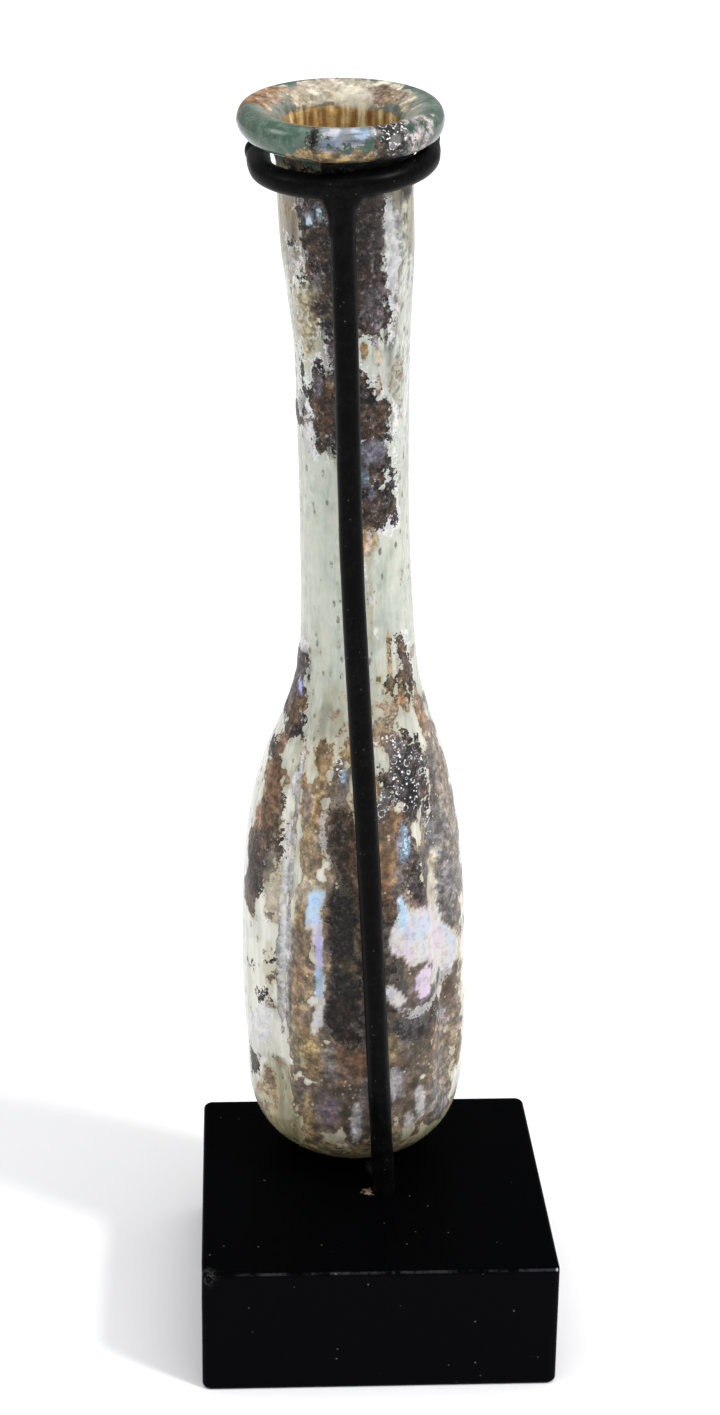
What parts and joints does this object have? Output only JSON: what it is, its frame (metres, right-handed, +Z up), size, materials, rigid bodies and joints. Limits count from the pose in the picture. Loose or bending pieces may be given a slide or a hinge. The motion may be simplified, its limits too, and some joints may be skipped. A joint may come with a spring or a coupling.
{
  "type": "roman glass unguentarium on display mount",
  "caption": "Slender blown-glass flask with rolled rim, long neck and creased body, hollow and open, held by a wire fork on a bent rod over a square block.",
  "frame": {"origin": "centre of the block's underside", "axes": "+Z up, -Y towards the front where the rod stands before the bottle, +X to the viewer's right"},
  "size_m": [0.0508, 0.0551, 0.1791],
  "materials": {
    "weathered_glass": "clear pale blue-green glass, in part under brown crust and iridescent film",
    "black_painted_metal": "satin black paint",
    "black_lacquered_wood": "semi-gloss black lacquer with dust and one worn corner"
  },
  "bodies": {
    "root": {"glass_bottle": "weathered_glass", "metal_mount": "black_painted_metal", "block_base": "black_lacquered_wood"}
  },
  "joints": []
}
